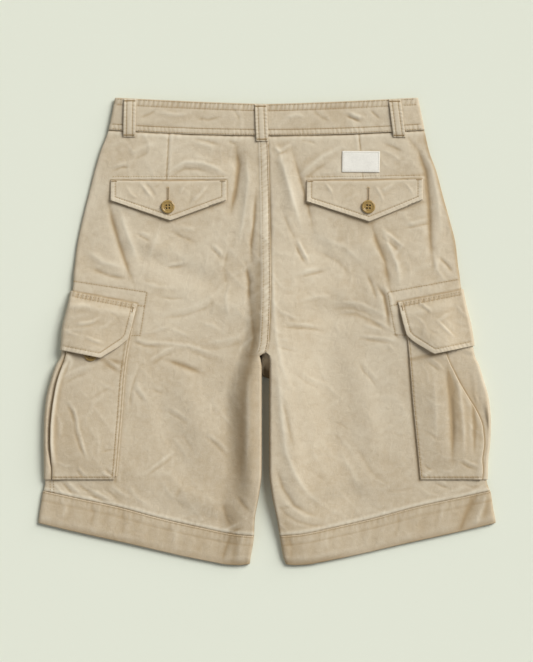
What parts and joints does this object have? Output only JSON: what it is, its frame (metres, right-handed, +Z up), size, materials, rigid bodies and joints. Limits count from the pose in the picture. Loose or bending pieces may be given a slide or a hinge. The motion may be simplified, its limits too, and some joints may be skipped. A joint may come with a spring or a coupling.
{
  "type": "cargo shorts",
  "caption": "Knee-length cotton cargo shorts laid flat with the seat side up: waistband, belt loops, pointed seat flaps and pleated cargo pockets.",
  "frame": {"origin": "on the resting surface, under the middle of the garment's outline", "axes": "+Y from the hems to the waist, +Z up from the resting surface to the seat side, -X to the wearer's left"},
  "size_m": [0.609, 0.6216, 0.0163],
  "materials": {
    "twill": "matt khaki cotton twill, washed",
    "patch": "matt cream woven tape",
    "button": "satin golden brown"
  },
  "bodies": {
    "root": {"back_left": "twill", "back_right": "twill", "front_left": "twill", "front_right": "twill", "hem_left": "twill", "hem_right": "twill", "waistband_left": "twill", "waistband_right": "twill", "cargo_pocket_left": "twill", "cargo_pocket_right": "twill", "cargo_gusset_left": "twill", "cargo_gusset_right": "twill", "cargo_flap_left": "twill", "cargo_flap_right": "twill", "seat_flap_left": "twill", "seat_flap_right": "twill", "belt_loop_left": "twill", "belt_loop_centre": "twill", "belt_loop_right": "twill", "front_loop_left": "twill", "front_loop_right": "twill", "label_patch": "patch", "seat_button_left": "button", "seat_button_right": "button", "cargo_button_left": "button", "cargo_button_right": "button", "fly_button": "button"}
  },
  "joints": []
}
